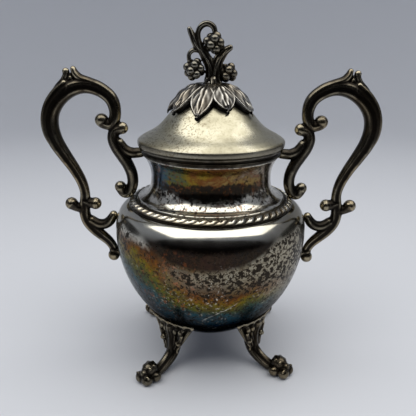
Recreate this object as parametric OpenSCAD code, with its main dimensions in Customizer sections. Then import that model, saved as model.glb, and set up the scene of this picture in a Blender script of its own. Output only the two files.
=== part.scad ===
// Covered sugar bowl of silver-plated hollowware: a spun belly and waisted neck, a gadroon band on
// the shoulder, two scroll handles, four cast feet, and a lift-off lid with a leaf cup and a vine
// finial. Millimetres. Z is up, the floor is z = 0 and the bowl's axis is the Z axis. The handles
// lie in the XZ plane.

/* [Belly] */
// Largest radius of the belly
belly_r = 55; // [54:0.5:56]
// Height of the belly's widest line
belly_z = 77; // [76:0.5:78]
// Depth of the belly's curve below the widest line
belly_drop = 63; // [62:0.5:64]
// Height of the flat bottom above the floor
base_z = 16; // [15.5:0.5:17]
// Thickness of the spun metal
wall = 1.2; // [1:0.1:1.4]

/* [Shoulder and neck] */
// Radius at the top of the rounded shoulder
shoulder_r = 46; // [45.5:0.5:46.5]
// Height of the top of the rounded shoulder
shoulder_z = 94; // [93.5:0.5:94.5]
// Outer radius of the neck at its waist
waist_r = 34; // [33.5:0.5:34.5]
// Height of the top face of the mouth rim
mouth_z = 127; // [126.5:0.5:127.5]

/* [Gadroon band] */
// Number of slanted lobes round the band
lobes = 54; // [48:2:60]
// Slant of a lobe, in degrees round the axis
lobe_slant = 5; // [3:0.5:6]

/* [Lid] */
// Outer radius of the lid's edge
lid_r = 41.2; // [41:0.1:41.6]
// Gap between the lid's seat and the mouth rim
seat_gap = 0.3; // [0.3:0.1:0.6]
// How far the bezel reaches down into the mouth
bezel_depth = 5.5; // [4:0.5:5.5]

/* [Feet] */
// Bearing of the front left foot from the front, in degrees round the axis
front_left_at = -40; // [-45:1:-38]
// Bearing of the front right foot
front_right_at = 51; // [45:1:52]
// Bearing of the rear right foot
rear_right_at = 136; // [130:1:140]
// Bearing of the rear left foot
rear_left_at = 226; // [220:1:230]
// Half the angle that a foot's palmette covers on the belly
fan_angle = 21; // [16:1:22]

/* [Handles] */
// Thickness of the handles' strokes, against the design size
stroke = 1; // [0.9:0.02:1.05]

/* [Leaf cup and finial] */
// Number of drooping leaves
leaves = 9; // [8:1:10]
// Radius of one grape
grape_r = 1.9; // [1.7:0.1:2]
// Radius of the threaded stud under the finial
stud_r = 2; // [1.8:0.1:2.1]

/* [Hidden] */
solder = 0.05;
land_in = 40.4;
land_top = 97.4;
neck_foot_r = 41.8;
neck_sweep_z = 108.5;
neck_flare_z = 110;
neck_flare_arc = 19.5;
rim_h = 4.6;
rim_in = 36.6;
rim_out = 39.4;
bezel_out = 36;
bezel_wall = 1;
lid_edge_h = 3;
lid_wall = 1.4;
lid_top = 155.5;
hole_r = stud_r + 0.3;
washer_h = 1;
washer_top = lid_top - lid_wall - 0.3;
nut_h = 3.2;
cup_top = 160.6;
lid_seat = mouth_z + seat_gap;

// Stations of the lid's upper surface: radius and height.
lid_curve = [
    [lid_r, 130.4], [37.5, 132.7], [33.5, 134.8], [30.4, 136.8], [27.8, 139.2],
    [25.3, 142], [22.2, 145.5], [18, 149.2], [12.5, 152.7], [7, 155.1], [hole_r, lid_top]
];

// Strokes of a handle: outward distance, height and half thickness.
main_scroll = [
    [60.5, 138.6, 3.2], [56.5, 137.6, 3.1], [53.8, 141, 3.3], [53.5, 146.5, 3.4],
    [56.2, 152.5, 3.5], [62.5, 157, 3.8], [70, 158.6, 4.2], [77.5, 156.6, 4.5],
    [84.3, 151.6, 4.8], [88.8, 144.5, 4.9], [89.8, 136.5, 4.8], [87.6, 128.3, 4.4],
    [83.2, 120.4, 3.9], [78.4, 112.7, 3.4], [74.7, 105.3, 3.1], [73, 98.3, 2.9],
    [73.4, 91.5, 3.2], [73.8, 85.6, 3.3], [72.2, 80.2, 3.4], [68.6, 75.6, 3.4],
    [64.2, 71.6, 3.2], [60.4, 68, 2.9], [58, 64, 2.7], [57.4, 60, 2.9]
];
wall_bracket = [
    [50.2, 135.6, 3.3], [53.8, 134.2, 3.1], [55, 130, 3.3], [53.4, 125, 3.4],
    [50.3, 120, 3.4], [47.2, 114.8, 3.3], [45.2, 109.3, 3.2], [45, 103.8, 3.1],
    [46.8, 99.2, 3], [50, 98, 2.9], [52, 101.4, 3.3]
];
rim_arm = [[52, 127.5, 3], [49, 123.6, 3.1], [45, 121.9, 3], [41.5, 122, 2.9], [38, 122.2, 2.8]];
belly_arm = [[70.6, 81.4, 3], [66.6, 79, 3.1], [62.4, 79, 3], [59.2, 81.2, 2.9], [57, 84.8, 2.4]];
belly_pad = [[58, 62.5, 2.6], [52.5, 61.5, 2.4]];
outer_volute = [[73.8, 88.2, 2.6], [77.8, 89, 2.7], [81.2, 91.4, 3.7]];
inner_volute = [[73.4, 93, 2.7], [70.2, 92, 3], [67.3, 91.6, 3.6]];
back_leaf = [
    [80, 160.2, 1.8], [85.8, 155, 2.1], [90.4, 147.8, 2.3], [92.3, 139.5, 2.4],
    [91.4, 131.5, 2.1], [87.8, 124.5, 1.7], [83.4, 117.5, 1]
];
thumb_high = [[60, 159.8, 1.6], [66.5, 161.6, 1.8], [72, 163.4, 1.9], [74.9, 167, 1.6]];
thumb_low = [[84, 157.5, 2], [80.6, 161.8, 1.9], [79, 165.6, 1.8]];

// Strokes of a foot: outward distance, height and half thickness.
leg = [
    [33.6, 26.5, 4.4], [31.8, 20.5, 4.4], [31.6, 14.5, 4.2], [33.8, 9, 3.9],
    [38.6, 5.2, 3.6], [44.5, 2.9, 3.4], [50, 2.7, 3.4], [54, 2.8, 3.4]
];

// Strokes of the finial's vine: sideways distance, height and half thickness.
stem_left = [
    [0.4, 161.4, 3.4], [0.2, 165.5, 3], [-0.8, 170, 2.7], [-3.4, 174.6, 2.4], [-6, 179, 2.1],
    [-7.5, 183.5, 1.6], [-7.4, 187.4, 1.4], [-5.3, 190.4, 1.5], [-2.2, 191.2, 1.6],
    [0.6, 189.6, 1.4], [1.6, 186.6, 1.3]
];
stem_right = [[1.4, 161.4, 3.4], [1.5, 167, 3], [3, 172.5, 2.6], [6, 176.7, 2], [9.6, 179.3, 1.4]];
stub_left = [[-4.8, 176.6, 2], [-8.3, 180.6, 2.1], [-10.3, 184.8, 1.8], [-12.1, 188.6, 1.2]];
tendril_left = [[-6.4, 177.6, 1.4], [-10, 177.8, 1.3], [-12.3, 175.6, 1.2], [-12.2, 172.4, 1.2]];

// Grape clusters: centre, radius of the bunch and number of grapes.
bunches = [
    [[1.3, -1, 181.8], 3.9, 15],
    [[-9.5, -0.5, 168], 3.6, 14],
    [[8.5, 0.5, 166.2], 2.9, 11]
];

// How far the tip of each leaf stands above the lowest, round the cup.
leaf_lift = [2.4, 5, 0, 2, 4, 0.5, 3, 0, 1.6];

// The belly's lower curve, a superellipse from the flat bottom up to the widest line.
function belly_curve(inset) =
    [for (i = [0:14])
        let (z = base_z + inset + (belly_z - base_z - inset) * sin(90 * i / 14))
        [(belly_r - inset) * sqrt(1 - pow((belly_z - z) / (belly_drop - inset), 1.9)), z]];
function shoulder_curve(inset) =
    [for (a = [0:15:90])
        [shoulder_r + (belly_r - shoulder_r - inset) * cos(a), belly_z + 3
            + (shoulder_z - belly_z - 3 - inset) * sin(a)]];
function land_z(r) =
    land_top + (land_in - r) * (land_top - shoulder_z) / (shoulder_r - land_in);
// The neck's hollow sweep from its foot in to the waist, and its flare out to the mouth.
function neck_sweep(inset) =
    let (drop = neck_sweep_z - land_z(neck_foot_r) - solder - wall)
    [for (a = [0:10:90])
        [neck_foot_r - (neck_foot_r - waist_r + inset) * sin(a),
            neck_sweep_z - (drop + inset) * cos(a)]];
function neck_flare(inset) =
    [for (z = [neck_flare_z:1.54:mouth_z - rim_h])
        [waist_r - inset + neck_flare_arc
            - sqrt(pow(neck_flare_arc, 2) - pow(z - neck_flare_z, 2)), z]];

// A point on the smooth curve that passes through b and c, at t from 0 to 1.
function between(a, b, c, d, t) =
    0.5 * (2 * b + (c - a) * t + (2 * a - 5 * b + 4 * c - d) * t * t
        + (3 * b - a - 3 * c + d) * t * t * t);
function smooth(p, steps) = concat(
    [for (i = [0:len(p) - 2], s = [0:steps - 1])
        between(p[max(i - 1, 0)], p[i], p[i + 1], p[min(i + 2, len(p) - 1)], s / steps)],
    [p[len(p) - 1]]);

module bead(place, r) translate(place) sphere(r, $fn = 8);

// A round stroke in the XZ plane, with its thickness at each station.
module stroke_xz(stations, steps = 2, depth = 0) {
    path = smooth(stations, steps);
    for (i = [0:len(path) - 2])
        hull() {
            bead([path[i][0], depth, path[i][1]], path[i][2] * stroke);
            bead([path[i + 1][0], depth, path[i + 1][1]], path[i + 1][2] * stroke);
        }
}

// The outside of the bowl as a solid, grown by a solder line, to seat castings on.
module bowl_outside(grow) {
    outline = concat(
        belly_curve(0),
        shoulder_curve(0),
        [[shoulder_r + 1.6, shoulder_z + 1.2], [land_in + 1, land_top + 1.2]],
        [for (p = concat(neck_sweep(0), neck_flare(0))) if (p[1] > land_top + 1.2) p],
        [[rim_out, mouth_z - rim_h], [rim_out, mouth_z]]);
    rotate_extrude($fn = 72)
        polygon(concat([[0, base_z - grow]], [for (p = outline) [p[0] + grow, p[1]]],
            [[0, mouth_z]]));
}

// The rounded shoulder and its sloping land as a solid, grown by a solder line.
module shoulder_outside(grow) {
    outline = [for (p = concat(shoulder_curve(0), [[land_in, land_top]])) p + [grow, grow]];
    rotate_extrude($fn = 2 * lobes)
        polygon(concat([[0, belly_z + 3]], outline, [[0, land_top + grow]]));
}

module bowl_shell() {
    outer = concat(belly_curve(0), shoulder_curve(0), [[land_in, land_top]]);
    inner = concat(
        belly_curve(wall),
        shoulder_curve(wall),
        [[land_in, land_top - wall]]);
    color("darkgray")
    rotate_extrude($fn = 144)
        polygon(concat([[0, base_z]], outer, [for (i = [len(inner) - 1:-1:0]) inner[i]],
            [[0, base_z + wall]]));
}

module neck_collar() {
    outer = concat(neck_sweep(0), neck_flare(0));
    inner = concat(
        [[neck_foot_r, land_z(neck_foot_r) + solder], [land_in - 0.1, land_top + solder]],
        [for (p = neck_sweep(wall)) if (p[0] < land_in - 0.5) p],
        neck_flare(wall));
    color("dimgray")
    rotate_extrude($fn = 144)
        polygon(concat(outer, [for (i = [len(inner) - 1:-1:0]) inner[i]]));
}

module mouth_rim() {
    foot = mouth_z - rim_h + solder;
    bead_r = 0.9;
    color("gray")
    rotate_extrude($fn = 144)
        polygon(concat(
            [[rim_in, foot], [rim_out - 1.2, foot]],
            [for (a = [-60:30:60]) [rim_out - 1.2 + bead_r * cos(a), foot + bead_r * (1 + sin(a))]],
            [[rim_out - 1, foot + 2.4], [rim_out, foot + 3.2], [rim_out, mouth_z - 0.4]],
            [[rim_out - 0.4, mouth_z], [rim_in, mouth_z]]));
}

module gadroon_band() {
    inner_r = 42.4;
    outer_r = 47.2;
    crown = 1.3;
    lobe_r = 1.45;
    color("slategray")
    difference() {
        union() {
            rotate_extrude($fn = lobes)
                polygon([
                    [inner_r, land_z(inner_r) + 2 * solder], [outer_r, land_z(outer_r) + 0.8],
                    [outer_r, land_z(outer_r) + 1.9], [inner_r, land_z(inner_r) + crown]
                ]);
            for (i = [0:lobes - 1])
                rotate([0, 0, i * 360 / lobes])
                    hull() {
                        rotate([0, 0, -lobe_slant / 2])
                            translate([inner_r + 1.2, 0, land_z(inner_r) + 0.4])
                                sphere(lobe_r * 0.8, $fn = 4);
                        rotate([0, 0, lobe_slant / 2])
                            translate([outer_r - 1.3, 0, land_z(outer_r) + 1.9])
                                sphere(lobe_r, $fn = 4);
                    }
        }
        shoulder_outside(solder);
    }
}

// One cast foot, made along +X: a fan against the belly, an S leg and a toe of five knobs.
module foot() {
    ankle = [33, 0, 13];
    fan_z = 29.5;
    color("saddlebrown")
    difference() {
        intersection() {
            union() {
                stroke_xz(leg);
                for (a = [-1:0.5:0.5])
                    hull() {
                        bead(ankle, 3.4);
                        for (b = [a, a + 0.5])
                            rotate([0, 0, b * fan_angle])
                                bead([35.2, 0, fan_z - 1.6 * abs(b)], 1.9);
                    }
                for (side = [-1, 1]) {
                    bead([33.6, side * 5.6, 17.5], 2);
                    bead([56.4, side * 2.4, 2.7], 3.4);
                    bead([50.4, side * 3.8, 2.3], 3);
                }
                bead([51.6, 0, 7.4], 3.9);
            }
            translate([20, -30, 0])
                cube([60, 60, 40]);
        }
        bowl_outside(solder);
    }
}

// The leg's bearing is an angle round Z from the front, which is -Y.
module foot_at(bearing) rotate([0, 0, bearing - 90]) foot();
module foot_front_left() foot_at(front_left_at);
module foot_front_right() foot_at(front_right_at);
module foot_rear_right() foot_at(rear_right_at);
module foot_rear_left() foot_at(rear_left_at);

// One cast handle on the +X side, with its leaf at the back and its thumb piece on top.
module handle() {
    color("darkgoldenrod")
    difference() {
        union() {
            for (s = [main_scroll, wall_bracket, rim_arm, belly_arm, belly_pad])
                stroke_xz(s);
            for (s = [outer_volute, inner_volute, thumb_high, thumb_low])
                stroke_xz(s);
            for (side = [-1.6, 1.6])
                stroke_xz(back_leaf, 1, side);
            hull() {
                bead([70, 0, 161], 1.2);
                bead([82, 0, 159], 1.2);
                bead([76.6, 0, 164.6], 1);
            }
            bead([61, 0, 140], 3.9);
            bead([58, 0, 59.2], 3.5);
        }
        bowl_outside(solder);
    }
}
module handle_right() handle();
module handle_left() mirror([1, 0, 0]) handle();

module lid_shell() {
    top = smooth(lid_curve, 2);
    edge_in = 39.5;
    under = [for (i = [len(top) - 1:-1:0]) if (top[i][0] < edge_in) [top[i][0], top[i][1] - lid_wall]];
    color("lightgray")
    rotate_extrude($fn = 144)
        polygon(concat(
            [[edge_in, lid_seat], [lid_r - 0.5, lid_seat], [lid_r, lid_seat + lid_edge_h]],
            [for (i = [1:len(top) - 1]) top[i]],
            under,
            [[edge_in, lid_seat + lid_edge_h - 0.9]]));
}

module lid_bezel() {
    flange_r = 39.5 - solder;
    color("silver")
    rotate_extrude($fn = 144)
        polygon([
            [bezel_out - bezel_wall, lid_seat - bezel_depth], [bezel_out, lid_seat - bezel_depth],
            [bezel_out, lid_seat], [flange_r, lid_seat],
            [flange_r, lid_seat + 1], [bezel_out - bezel_wall, lid_seat + 1]
        ]);
}

// One leaf along +X: slices of a thin arched plate, joined in pairs.
module leaf(lift) {
    slices = [
        [4, cup_top - 1.3, 2], [9, cup_top - 1.6, 3.8], [14, 157.4, 5.2],
        [18.5, 153.4, 5.6], [21.7, 149.9 + lift / 3, 4], [24.3, 145 + lift, 0.5]
    ];
    for (i = [0:len(slices) - 2])
        hull()
            for (s = [slices[i], slices[i + 1]], side = [-1, 0, 1])
                translate([s[0] - 0.6 * abs(side), side * s[2], s[1] - 0.5 * abs(side)])
                    sphere(0.6, $fn = 6);
}

// The leaves overlap their neighbours by small steps, so that no two lie in one plane.
module leaf_cup() {
    boss_r = 5.2;
    leaf_step = 0.13;
    color("darkslategray")
    difference() {
        union() {
            for (i = [0:leaves - 1])
                translate([0, 0, leaf_step * (i % 3)])
                    rotate([0, 0, 253 + i * 360 / leaves])
                        leaf(leaf_lift[i % len(leaf_lift)]);
            translate([0, 0, lid_top + solder])
                cylinder(h = cup_top - lid_top - solder, r = boss_r, $fn = 36);
        }
        translate([0, 0, lid_top - 1])
            cylinder(h = 10, r = hole_r, $fn = 36);
    }
}

// A bunch of grapes set round a core in equal steps of the golden angle.
module bunch(centre, r, count) {
    bead(centre, r);
    for (i = [0:count - 1]) {
        up = 1 - 2 * (i + 0.5) / count;
        out = sqrt(1 - up * up);
        a = i * 137.5;
        translate(centre + r * [out * cos(a), out * sin(a), up])
            sphere(grape_r, $fn = 6);
    }
}

module finial() {
    color("darkolivegreen")
    difference() {
        union() {
            translate([0.7, 0, cup_top])
                cylinder(h = 1.2, r1 = 5, r2 = 4.4, $fn = 24);
            for (s = [stem_left, stem_right, stub_left, tendril_left])
                stroke_xz(s);
            for (b = bunches)
                bunch(b[0], b[1], b[2]);
        }
        translate([-20, -20, cup_top + solder - 20])
            cube([40, 40, 20]);
    }
}

module finial_stud() {
    foot = washer_top - washer_h - nut_h - 1.5;
    color("goldenrod")
    translate([0, 0, foot])
        cylinder(h = cup_top - foot, r = stud_r, $fn = 48);
}

module finial_washer() {
    color("peru")
    translate([0, 0, washer_top - washer_h])
        difference() {
            cylinder(h = washer_h, r = 4.5, $fn = 48);
            translate([0, 0, -1])
                cylinder(h = washer_h + 2, r = stud_r + 0.2, $fn = 48);
        }
}

module finial_nut() {
    color("khaki")
    translate([0, 0, washer_top - washer_h - solder - nut_h])
        difference() {
            cylinder(h = nut_h, r = 4, $fn = 6);
            translate([0, 0, -1])
                cylinder(h = nut_h + 2, r = stud_r + 0.05, $fn = 48);
        }
}

bowl_shell();
neck_collar();
mouth_rim();
gadroon_band();
foot_front_left();
foot_front_right();
foot_rear_right();
foot_rear_left();
handle_left();
handle_right();
lid_shell();
lid_bezel();
leaf_cup();
finial();
finial_stud();
finial_washer();
finial_nut();
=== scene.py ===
import math

import bmesh
import bpy
import numpy as np
from mathutils import Matrix, Vector


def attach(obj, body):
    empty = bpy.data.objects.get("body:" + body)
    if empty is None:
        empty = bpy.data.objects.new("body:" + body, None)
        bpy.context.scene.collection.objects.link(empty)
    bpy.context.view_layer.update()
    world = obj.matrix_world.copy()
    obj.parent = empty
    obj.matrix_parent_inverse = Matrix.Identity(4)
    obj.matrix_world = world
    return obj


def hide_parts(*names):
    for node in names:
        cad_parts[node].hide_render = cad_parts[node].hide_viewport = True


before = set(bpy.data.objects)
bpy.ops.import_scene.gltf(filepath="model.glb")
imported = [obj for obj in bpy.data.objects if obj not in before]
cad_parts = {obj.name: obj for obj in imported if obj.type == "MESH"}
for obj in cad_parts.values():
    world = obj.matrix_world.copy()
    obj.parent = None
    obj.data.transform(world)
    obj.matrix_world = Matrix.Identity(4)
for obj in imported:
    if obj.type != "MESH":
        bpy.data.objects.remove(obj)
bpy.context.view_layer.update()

MM = 0.001
FULL_TURN = 2 * math.pi
GOLDEN_ANGLE = math.radians(137.5)

# ---------------------------------------------------------------- shapes, in millimetres


def empty_shape():
    """A list of points and a list of faces that the sub-parts add to."""
    return {"points": [], "faces": []}


def between(a, b, c, d, t):
    """A value on the smooth curve that passes through b and c."""
    return 0.5 * (
        2 * b
        + (c - a) * t
        + (2 * a - 5 * b + 4 * c - d) * t * t
        + (3 * b - a - 3 * c + d) * t * t * t
    )


def spline(stations, steps):
    """Stations of a smooth curve through the given ones, with every number carried along."""
    last = len(stations) - 1
    out = []
    for i in range(last):
        four = [stations[max(i - 1, 0)], stations[i], stations[i + 1], stations[min(i + 2, last)]]
        for k in range(steps):
            out.append(tuple(between(*values, k / steps) for values in zip(*four)))
    out.append(tuple(stations[-1]))
    return out


def swelling(value, middle, width):
    """A smooth rise to 1 at middle, which fades over width on either side."""
    return math.exp(-(((value - middle) / width) ** 2))


def around(turn):
    """A turn in degrees, from -180 to 180."""
    return (math.degrees(turn) + 180) % 360 - 180


def skin(shape, rings, first=None, last=None, wrap=False):
    """Joins closed rings of equal length, with a point over each open end."""
    points = shape["points"]
    faces = shape["faces"]
    start = len(points)
    n = len(rings[0])
    for ring in rings:
        points.extend(tuple(p) for p in ring)
    spans = len(rings) if wrap else len(rings) - 1
    for i in range(spans):
        a = start + i * n
        b = start + ((i + 1) % len(rings)) * n
        for k in range(n):
            m = (k + 1) % n
            faces.append((a + k, a + m, b + m, b + k))
    ends = ((first, start, 1, 0), (last, start + (len(rings) - 1) * n, 0, 1))
    for pole, ring_at, lead, trail in ends:
        if pole is not None:
            points.append(tuple(pole))
            tip = len(points) - 1
            faces.extend((ring_at + (k + lead) % n, ring_at + (k + trail) % n, tip) for k in range(n))


def turned_rings(outline, steps):
    """A ring of points round the Z axis for each (radius, height) pair."""
    turns = [FULL_TURN * k / steps for k in range(steps)]
    return [[(r * math.cos(a), r * math.sin(a), z) for a in turns] for r, z in outline]


def lathe(shape, outline, steps, closed_on_axis=False):
    """Turns (radius, height) pairs round the Z axis."""
    if closed_on_axis:
        ends = [(0, 0, z) for _, z in (outline[0], outline[-1])]
        skin(shape, turned_rings(outline[1:-1], steps), *ends)
    else:
        skin(shape, turned_rings(outline, steps), wrap=True)


def tube(shape, path, sides=22, section=None, flat=1.0, side=(0, 1, 0)):
    """A round-ended tube along (x, y, z, radius) stations. section(turn, along) scales its radius."""
    centres = [Vector(p[:3]) for p in path]
    side = Vector(side)
    rings = []
    frames = []
    for i, centre in enumerate(centres):
        ahead = (centres[min(i + 1, len(path) - 1)] - centres[max(i - 1, 0)]).normalized()
        side = (side - ahead * side.dot(ahead)).normalized()
        frames.append((centre, ahead, side.copy(), path[i][3]))
    head = frames[0]
    tail = frames[-1]
    caps = (75, 50, 25)
    stack = [(head, -math.sin(math.radians(a)), math.cos(math.radians(a))) for a in caps]
    stack += [(f, 0, 1) for f in frames]
    stack += [(tail, math.sin(math.radians(a)), math.cos(math.radians(a))) for a in reversed(caps)]
    for i, ((centre, ahead, across, radius), shift, size) in enumerate(stack):
        out = ahead.cross(across)
        along = i / (len(stack) - 1)
        ring = []
        for k in range(sides):
            turn = FULL_TURN * k / sides
            scale = radius * size * (section(turn, along) if section else 1)
            spoke = out * math.cos(turn) + across * (math.sin(turn) * flat)
            ring.append(centre + ahead * (radius * shift) + spoke * scale)
        rings.append(ring)
    skin(shape, rings, head[0] - head[1] * head[3], tail[0] + tail[1] * tail[3])


def ball(shape, centre, radius, stretch=(1, 1, 1), sides=20):
    """A round knob, longer or shorter along each axis by its stretch."""
    levels = range(1, sides // 2)
    rings = []
    for i in levels:
        polar = math.pi * i / (sides // 2)
        ring = []
        for k in range(sides):
            turn = FULL_TURN * k / sides
            spoke = (math.sin(polar) * math.cos(turn), math.sin(polar) * math.sin(turn), math.cos(polar))
            ring.append(tuple(c + radius * s * q for c, s, q in zip(centre, spoke, stretch)))
        rings.append(ring)
    x, y, z = centre
    reach = radius * stretch[2]
    skin(shape, rings, (x, y, z + reach), (x, y, z - reach))


def coil(start, turns, radius, shrink, steps):
    """The steps of a flat coil that winds inwards: how far along it, and its two coordinates."""
    for i in range(steps + 1):
        t = i / steps
        a = start + FULL_TURN * turns * t
        reach = radius * (1 - shrink * t)
        yield t, reach * math.cos(a), reach * math.sin(a)


def spiral(shape, centre, radius, start, turns, depth, thick):
    """A raised coil on both faces of a scroll's end, in the XZ plane."""
    x, y, z = centre
    for face in (-1, 1):
        path = [
            (x + u, y + face * depth * (0.7 + 0.5 * t), z + v, thick * (1 - 0.35 * t))
            for t, u, v in coil(math.radians(start), turns, radius, 0.82, 22)
        ]
        tube(shape, path, 10)


def placed(shape, matrix):
    """The same shape after a turn or a mirror."""
    return {
        "points": [tuple(matrix @ Vector(p)) for p in shape["points"]],
        "faces": list(shape["faces"]),
    }


def relief(mesh, name, rounds):
    """Stores how proud each point stands of its smoothed surface, from 0 in hollows to 1 on crests."""
    count = len(mesh.vertices)
    place = np.empty(count * 3)
    mesh.vertices.foreach_get("co", place)
    place = place.reshape(-1, 3)
    facing = np.empty(count * 3)
    mesh.vertices.foreach_get("normal", facing)
    facing = facing.reshape(-1, 3)
    ends = np.empty(len(mesh.edges) * 2, dtype=np.int64)
    mesh.edges.foreach_get("vertices", ends)
    a, b = ends.reshape(-1, 2).T
    links = np.bincount(a, minlength=count) + np.bincount(b, minlength=count)
    links = np.maximum(links, 1)[:, None]
    soft = place.copy()
    for _ in range(rounds):
        total = np.zeros_like(soft)
        np.add.at(total, a, soft[b])
        np.add.at(total, b, soft[a])
        soft = 0.3 * soft + 0.7 * total / links
    proud = ((place - soft) * facing).sum(axis=1)
    low, high = np.percentile(proud, (4, 96))
    value = np.clip((proud - low) / max(high - low, 1e-9), 0, 1)
    layer = mesh.attributes.new(name, "FLOAT", "POINT")
    layer.data.foreach_set("value", value.astype(np.float32))


def linked(name, data):
    """A new object in the scene."""
    thing = bpy.data.objects.new(name, data)
    bpy.context.scene.collection.objects.link(thing)
    return thing


def aim(thing, place, target):
    """Stands an object at a place, with its -Z side to a target."""
    thing.location = place
    thing.rotation_euler = (Vector(target) - Vector(place)).to_track_quat("-Z", "Y").to_euler()


def piece(name, shape, body, slot, nodes, material, voxel=0.0, soften=0, floor=None, rounds=10):
    """Makes one sub-part's mesh, fuses its strokes like a casting, and ties it to the frame."""
    mesh = bpy.data.meshes.new(name)
    points = [tuple(c * MM for c in p) for p in shape["points"]]
    mesh.from_pydata(points, [], shape["faces"])
    tidy = bmesh.new()
    tidy.from_mesh(mesh)
    bmesh.ops.recalc_face_normals(tidy, faces=tidy.faces)
    tidy.to_mesh(mesh)
    tidy.free()
    thing = linked(name, mesh)
    if voxel:
        fuse = thing.modifiers.new("fuse", "REMESH")
        fuse.mode = "VOXEL"
        fuse.voxel_size = voxel * MM
        if soften:
            ease = thing.modifiers.new("ease", "SMOOTH")
            ease.factor = 0.5
            ease.iterations = soften
        seen = thing.evaluated_get(bpy.context.evaluated_depsgraph_get())
        cast = bpy.data.meshes.new_from_object(seen)
        thing.modifiers.clear()
        thing.data = cast
        bpy.data.meshes.remove(mesh)
        mesh = cast
    if floor is not None:
        for vertex in mesh.vertices:
            vertex.co.z = max(vertex.co.z, floor * MM)
    mesh.polygons.foreach_set("use_smooth", [True] * len(mesh.polygons))
    mesh.update()
    relief(mesh, "relief", rounds)
    mesh.materials.clear()
    mesh.materials.append(material)
    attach(thing, body)
    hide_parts(*nodes)
    return thing


# ---------------------------------------------------------------- materials


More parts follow.
